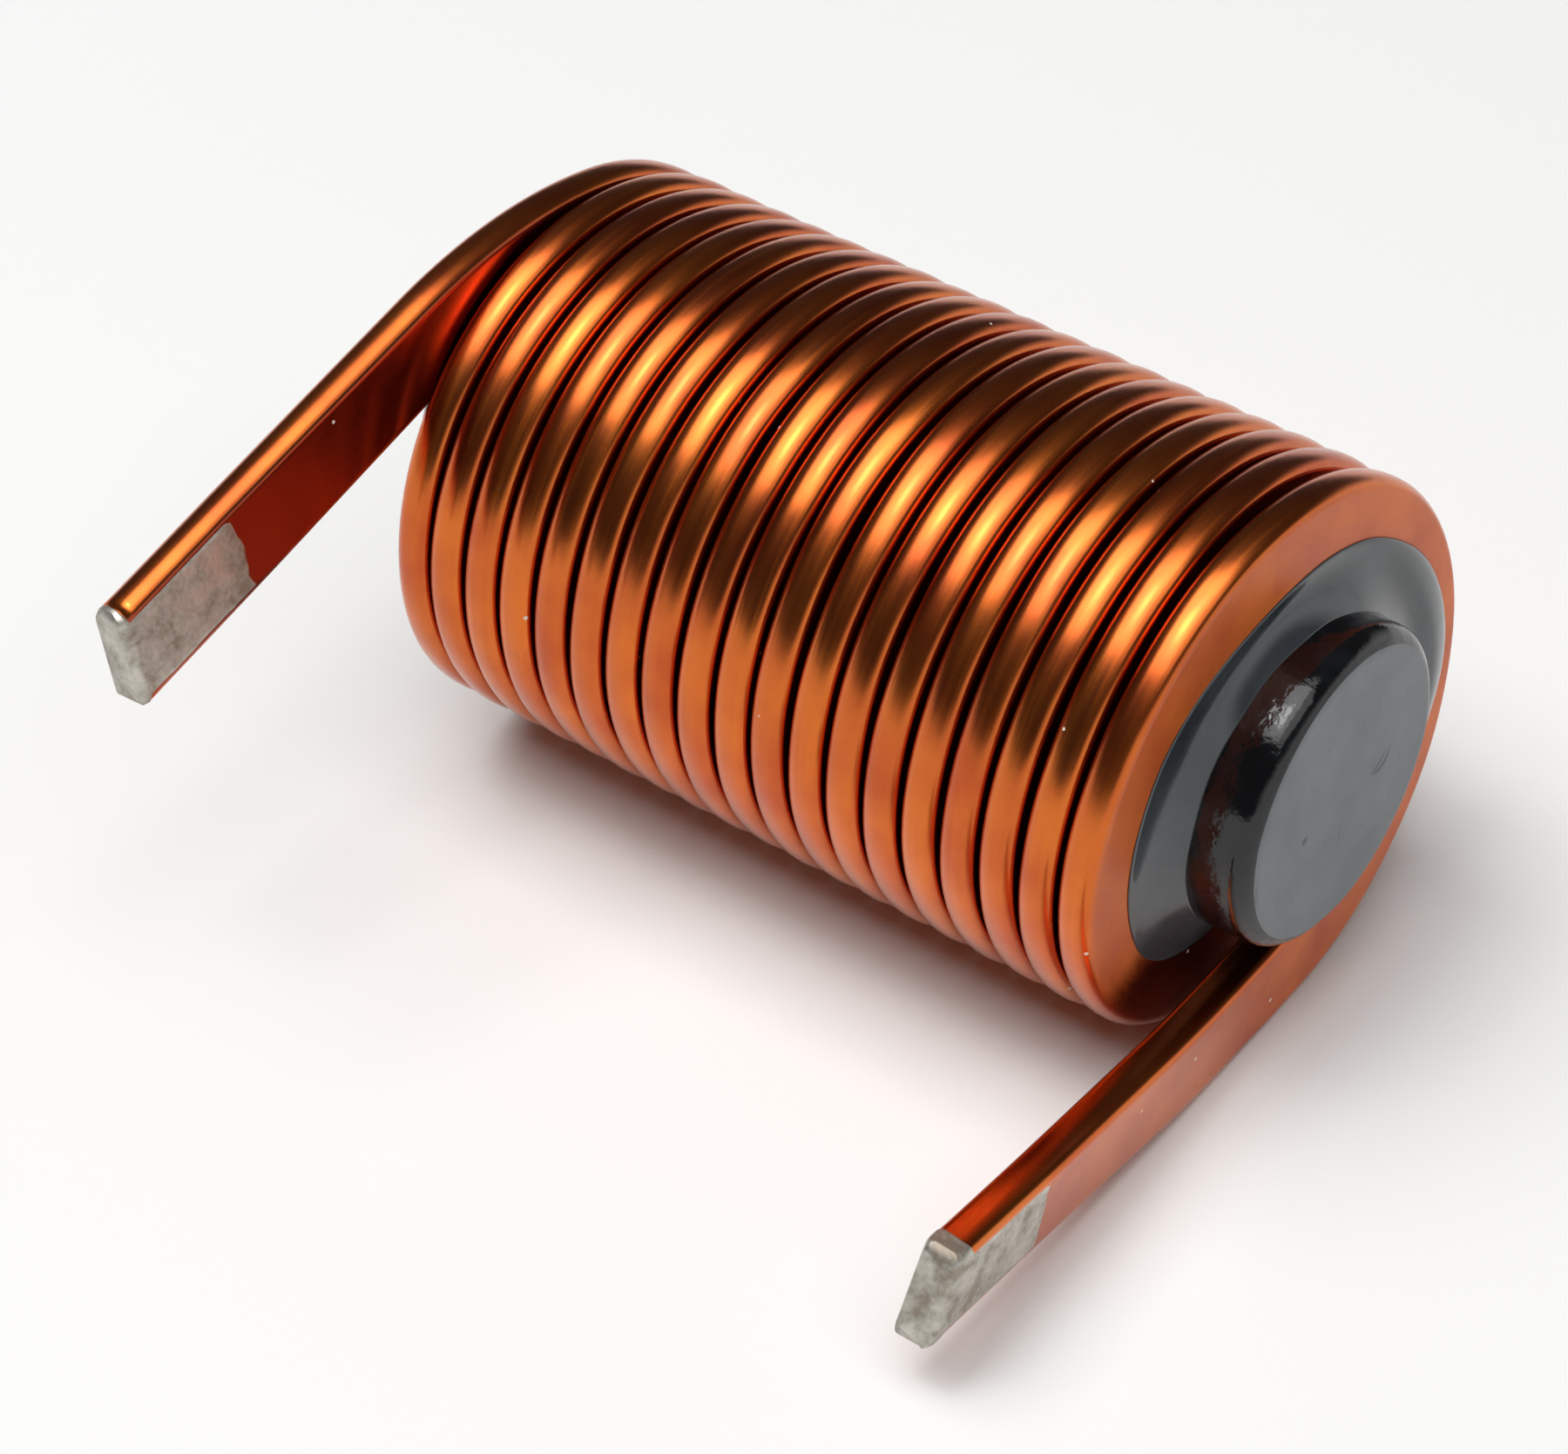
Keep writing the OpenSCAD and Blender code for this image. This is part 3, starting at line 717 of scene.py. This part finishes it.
def epoxyRing(side, exitAngle, name, node):
    bm = bmesh.new()
    bore, inner = potting["boreRadius"], rod["radius"] - potting["bite"]
    lip, bead, far, scant = potting["lip"], potting["bead"], potting["far"], potting["scant"]
    thickness, keystone, width = winding["thickness"], winding["keystone"], winding["width"]
    coilHalf = winding["pitch"] * winding["sweep"] / 720 + (thickness + keystone) / 2
    (startGap, startFade), (endGap, endFade) = potting["leadStart"], potting["leadEnd"]
    climbWave, climbRepeats = potting["climbWaves"]
    # the surface is spun in unit steps: the radius is 1 at the rod, 2 at the rim and 3 or
    # more underneath, and each point is then moved to the place it has at its own angle
    surface = [0, 0.04, 0.1, 0.18, 0.28, 0.4, 0.52, 0.62, 0.7, 0.77, 0.83, 0.88, 0.92, 0.955, 0.98,
               0.995, 1]
    profile = [(1, -1)] + [(1 + u, 0) for u in surface] + [(3, 0), (4, 0), (4, -1)]
    verts = [bm.verts.new((x, 0, r)) for r, x in profile]
    edges = [bm.edges.new((a, b)) for a, b in zip(verts, verts[1:] + verts[:1])]
    bmesh.ops.spin(bm, geom=verts + edges, cent=(0, 0, 0), axis=(1, 0, 0), angle=2 * math.pi,
                   steps=potting["around"], use_merge=True)
    bmesh.ops.remove_doubles(bm, verts=bm.verts, dist=0.0005)
    for vert in bm.verts:
        deep, ring = vert.co.x < -0.5, math.hypot(vert.co.y, vert.co.z)
        angle = math.degrees(math.atan2(vert.co.z, -vert.co.y))
        back = (side * (exitAngle - angle)) % 360       # degrees behind the lead's exit
        angle = exitAngle - side * back
        turned = math.radians(angle)
        spread = smoothStep((back - startGap) / startFade) * smoothStep((endGap - back) / endFade)
        ran = bulge(angle, far["at"], far["half"])
        seed = Vector((math.cos(turned), math.sin(turned), side * 3.0))
        reach = potting["reach"] * (1 - scant["share"] * bulge(angle, scant["at"], scant["half"]))
        reach = min(width - potting["bareWall"], reach + potting["run"] * ran) * spread
        reach *= 1 + potting["waviness"] * noise.noise(seed * potting["waves"])
        edge = lip + (bead - lip) * spread * ran
        if ring < 2.5:
            across = bore + reach - inner
            u = min(1.0, max(0.0, ring - 1))
            radius = inner + u * across
            rounding = potting["lipWidth"] + potting["beadWidth"] * (edge - lip) / bead
            crest = 1 - min(0.5, rounding / across)
            fall = math.sqrt(max(0.0, 1 - (max(0.0, u - crest) / (1 - crest)) ** 2))
            swell = math.exp(-((u - crest) / potting["beadSlope"]) ** 2) if u < crest else 1
            climb = (potting["climb"] - edge) * (1 - u) ** potting["climbCurve"]
            climb *= 1 + climbWave * noise.noise(seed * climbRepeats)
            lift = (edge * (potting["saddle"] + (1 - potting["saddle"]) * swell) + climb) * fall
        elif ring < 3.5:
            radius, lift = bore + min(potting["underReach"], reach), potting["under"]
        else:
            radius, lift = bore, potting["wallTop"]
        face = thickness / 2 + keystone * (winding["coilRadius"] - radius) / width
        x = side * (coilHalf - potting["depth"]) if deep else coilX(angle) + side * (face + lift)
        vert.co = inPlace(Vector((x, -radius * math.cos(turned), radius * math.sin(turned))))
    finishPiece(bm, name, [epoxy], node)


epoxyRing(1, endAngle, "epoxyFront", "epoxy_front")
epoxyRing(-1, winding["rearExit"], "epoxyRear", "epoxy_rear")


# lengths in metres; on the walls, heights are those of a direction, 1 being straight up
studio = {
    "floorSize": 3.0,
    "floorColour": "#F8F8F7",
    "lampReach": (0.09, 0.28),
    # an overhead softbox, brighter towards its middle
    "softboxBulb": {"place": (-0.09, -0.12, 0.451), "size": (0.15, 0.11), "radiance": 6.3},
    "softboxCore": {"place": (-0.09, -0.12, 0.45), "size": (0.5, 0.36), "radiance": 1.95},
    "softboxCloth": {"place": (0.06, -0.12, 0.449), "size": (0.84, 0.42), "radiance": 1.45},
    "darkWall": 0.03,
    "paleWall": 1.0,               # stands on the side that the front end faces
    "paleSide": (0.95, 0.3, 0), "paleFade": (0.2, 0.7),
    "wallTop": (0.15, 0.4), "ceiling": 0.05,
    "sweep": (0.02, 0.05), "sweepLevel": 0.92,    # the board curves up at the horizon
}


def makeFloor():
    pale = linear(studio["floorColour"])
    made, tree, shader = newMaterial("paintedBoard", {
        "Base Color": pale, "Roughness": 1.0, "Specular IOR Level": 0.0})
    # beyond the lamps' reach the board stays as pale as it is here
    solid = addNode(tree, "ShaderNodeTexCoord").outputs["Object"]
    far = addNode(tree, "ShaderNodeVectorMath", {"operation": "LENGTH"}, {0: solid})
    unlit = addNode(tree, "ShaderNodeMapRange",
                    {**fromTo(studio["lampReach"], (0, 1)), "interpolation_type": "SMOOTHSTEP"},
                    {"Value": far.outputs["Value"]})
    ray = addNode(tree, "ShaderNodeLightPath")
    seen = addNode(tree, "ShaderNodeMath", {"operation": "MAXIMUM"},
                   {0: ray.outputs["Is Camera Ray"], 1: ray.outputs["Is Glossy Ray"]})
    share = addNode(tree, "ShaderNodeMath", {"operation": "MULTIPLY"},
                    {0: unlit.outputs["Result"], 1: seen.outputs["Value"]})
    glow = addNode(tree, "ShaderNodeEmission", {"Color": pale, "Strength": 1.0})
    both = addNode(tree, "ShaderNodeMixShader", links={
        0: share.outputs["Value"], 1: shader.outputs["BSDF"], 2: glow.outputs["Emission"]})
    tree.links.new(both.outputs["Shader"], tree.nodes["Material Output"].inputs["Surface"])
    bm = bmesh.new()
    bmesh.ops.create_grid(bm, x_segments=2, y_segments=2, size=studio["floorSize"] / 2)
    bmesh.ops.translate(bm, vec=(0, 0, cadBox[0].z), verts=bm.verts)
    newObject(bm, "floor", [made])


def makeWalls():
    world = bpy.data.worlds.new("studioWalls")
    bpy.context.scene.world = world
    world.use_nodes = True
    tree = world.node_tree
    tree.nodes.clear()
    direction = addNode(tree, "ShaderNodeTexCoord").outputs["Generated"]
    height = addNode(tree, "ShaderNodeSeparateXYZ", links={"Vector": direction}).outputs["Z"]
    forwards = addNode(tree, "ShaderNodeVectorMath",
                       {"operation": "DOT_PRODUCT", 1: studio["paleSide"]}, {0: direction})
    levels = fromTo(studio["paleFade"], (studio["darkWall"], studio["paleWall"]))
    wall = addNode(tree, "ShaderNodeMapRange", {**levels, "interpolation_type": "SMOOTHSTEP"},
                   {"Value": forwards.outputs["Value"]})
    above = addNode(tree, "ShaderNodeMapRange", fromTo(studio["wallTop"], (0, 1)), {"Value": height})
    level = addNode(tree, "ShaderNodeMix", {3: studio["ceiling"]},
                    {0: above.outputs["Result"], 2: wall.outputs["Result"]})
    board = addNode(tree, "ShaderNodeMapRange", fromTo(studio["sweep"], (1, 0)), {"Value": height})
    room = addNode(tree, "ShaderNodeMix", {3: studio["sweepLevel"]},
                   {0: board.outputs["Result"], 2: level.outputs[0]})
    back = addNode(tree, "ShaderNodeBackground", {"Strength": 1.0}, {"Color": room.outputs[0]})
    addNode(tree, "ShaderNodeOutputWorld", links={"Surface": back.outputs["Background"]})


def makeSoftbox(name):
    box = studio[name]
    light = bpy.data.lights.new(name, "AREA")
    light.shape = "RECTANGLE"
    light.size, light.size_y = box["size"]
    light.energy = box["radiance"] * math.pi * light.size * light.size_y
    lamp = bpy.data.objects.new(name, light)
    lamp.location = box["place"]
    bpy.context.scene.collection.objects.link(lamp)


makeFloor()
makeWalls()
for name in ("softboxBulb", "softboxCore", "softboxCloth"):
    makeSoftbox(name)
print("studio made")

view = {
    "place": (48.786, -62.353, 73.245),       # mm
    "back": (0.47087, -0.59638, 0.65008),
    "up": (-0.39478, 0.51654, 0.75982),
    "lens": 101.55, "sensor": 36,             # mm
    "clip": (0.005, 10),
}


def makeCamera():
    lens = bpy.data.cameras.new("camera")
    lens.lens, lens.sensor_width = view["lens"], view["sensor"]
    lens.clip_start, lens.clip_end = view["clip"]
    camera = bpy.data.objects.new("camera", lens)
    back, up = Vector(view["back"]).normalized(), Vector(view["up"])
    right = up.cross(back).normalized()
    up = back.cross(right)
    turn = Matrix((right, up, back)).transposed().to_4x4()
    camera.matrix_world = Matrix.Translation(Vector(view["place"]) * mm) @ turn
    bpy.context.scene.collection.objects.link(camera)
    bpy.context.scene.camera = camera


makeCamera()
bpy.context.scene.view_settings.view_transform = "Standard"

print("done")
